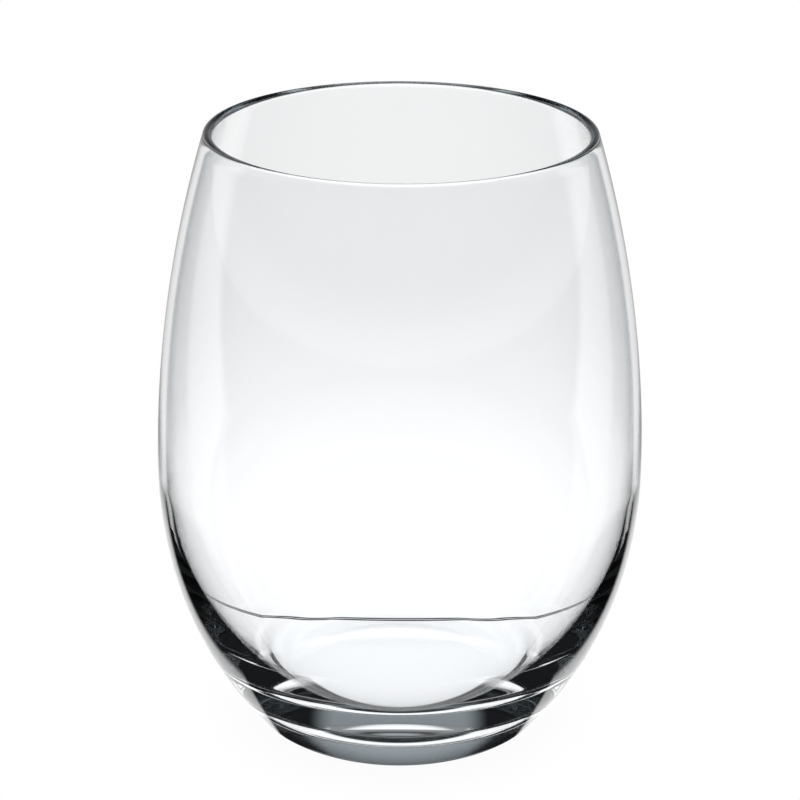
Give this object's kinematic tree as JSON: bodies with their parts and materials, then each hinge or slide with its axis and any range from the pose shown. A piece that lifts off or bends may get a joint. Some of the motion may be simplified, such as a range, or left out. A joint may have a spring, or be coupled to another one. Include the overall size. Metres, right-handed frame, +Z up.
{
  "type": "stemless wine glass",
  "caption": "Clear stemless wine glass: an egg-shaped bowl that narrows to a rounded rim and stands on its own heavy base.",
  "frame": {"origin": "centre of the foot, on the table that the glass stands on", "axes": "+Z up along the axis of revolution; the glass is round, so X and Y are alike"},
  "size_m": [0.088, 0.088, 0.1123],
  "materials": {
    "clear_glass": "clear, fire polished, smooth"
  },
  "bodies": {
    "root": {"rim": "clear_glass", "upper_bowl": "clear_glass", "lower_bowl": "clear_glass", "base": "clear_glass"}
  },
  "joints": []
}
